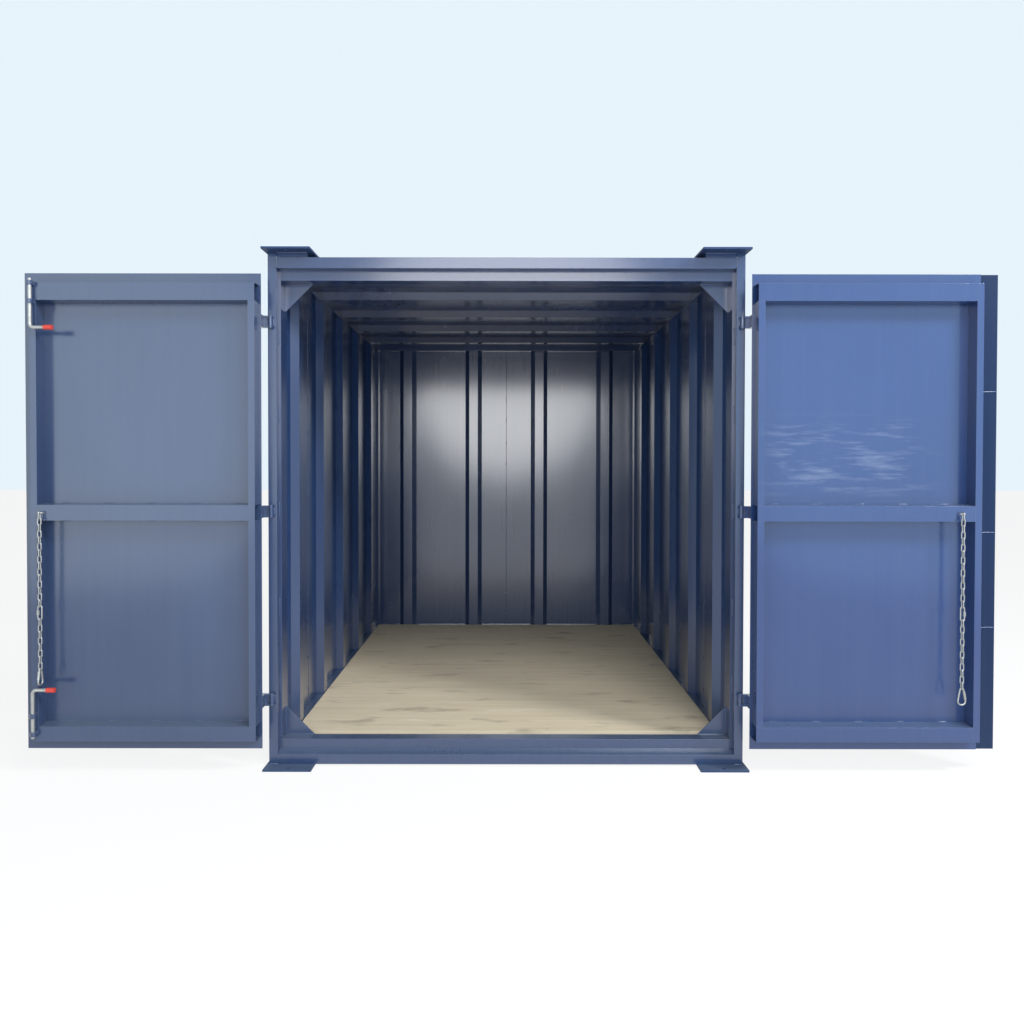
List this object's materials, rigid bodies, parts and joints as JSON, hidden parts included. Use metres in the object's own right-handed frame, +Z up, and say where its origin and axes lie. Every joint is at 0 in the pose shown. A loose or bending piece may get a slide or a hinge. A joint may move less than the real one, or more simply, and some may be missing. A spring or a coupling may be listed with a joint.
{
  "type": "steel site store",
  "caption": "Painted steel site store with ribbed walls, a plywood floor and full-height double doors on lug hinges, shown folded open, with shoot bolts and chains.",
  "frame": {"origin": "on the ground, under the middle of the outline with the doors folded open", "axes": "+X to the right seen from the doors, +Y from the doors to the rear wall, +Z up"},
  "size_m": [4.89, 3.3185, 2.644],
  "materials": {
    "navy_paint": "gloss",
    "plywood": "matte",
    "zinc": "satin",
    "red_grip": "satin"
  },
  "bodies": {
    "cabin": {"front_posts": "navy_paint", "rear_posts": "navy_paint", "front_header": "navy_paint", "front_sill": "navy_paint", "rear_header": "navy_paint", "rear_sill": "navy_paint", "side_stops": "navy_paint", "head_stop": "navy_paint", "sill_stop": "navy_paint", "top_side_rails": "navy_paint", "bottom_side_rails": "navy_paint", "left_wall": "navy_paint", "right_wall": "navy_paint", "rear_wall": "navy_paint", "roof": "navy_paint", "floor_boards": "plywood", "floor_bearers": "navy_paint", "base_plates": "navy_paint", "stacking_blocks": "navy_paint", "stacking_plates": "navy_paint", "frame_gussets": "navy_paint", "left_post_hinges": "navy_paint", "right_post_hinges": "navy_paint"},
    "left_door": {"left_door_skin": "navy_paint", "left_door_rails": "navy_paint", "left_door_stiles": "navy_paint", "left_door_lugs": "navy_paint", "left_chain_staple": "zinc", "left_chain": "zinc", "left_snap_hook": "zinc", "bolt_guides": "navy_paint"},
    "right_door": {"right_door_skin": "navy_paint", "right_door_rails": "navy_paint", "right_door_stiles": "navy_paint", "right_door_lugs": "navy_paint", "right_door_cover_strip": "navy_paint", "right_chain_staple": "zinc", "right_chain": "zinc", "right_snap_hook": "zinc"},
    "upper_bolt_body": {"upper_bolt": "zinc", "upper_bolt_grip": "red_grip"},
    "lower_bolt_body": {"lower_bolt": "zinc", "lower_bolt_grip": "red_grip"}
  },
  "joints": [
    {"name": "left_door_hinge", "type": "hinge", "parent": "cabin", "child": "left_door", "pos_m": [-1.201, -1.489, 1.313], "axis": [0, 0, 1], "range_deg": [0, 180]},
    {"name": "right_door_hinge", "type": "hinge", "parent": "cabin", "child": "right_door", "pos_m": [1.201, -1.489, 1.313], "axis": [0, 0, -1], "range_deg": [0, 180]},
    {"name": "upper_bolt_slide", "type": "slide", "parent": "left_door", "child": "upper_bolt_body", "axis": [0, 0, 1], "range_m": [0, 0.065]},
    {"name": "lower_bolt_slide", "type": "slide", "parent": "left_door", "child": "lower_bolt_body", "axis": [0, 0, -1], "range_m": [0, 0.09]}
  ]
}
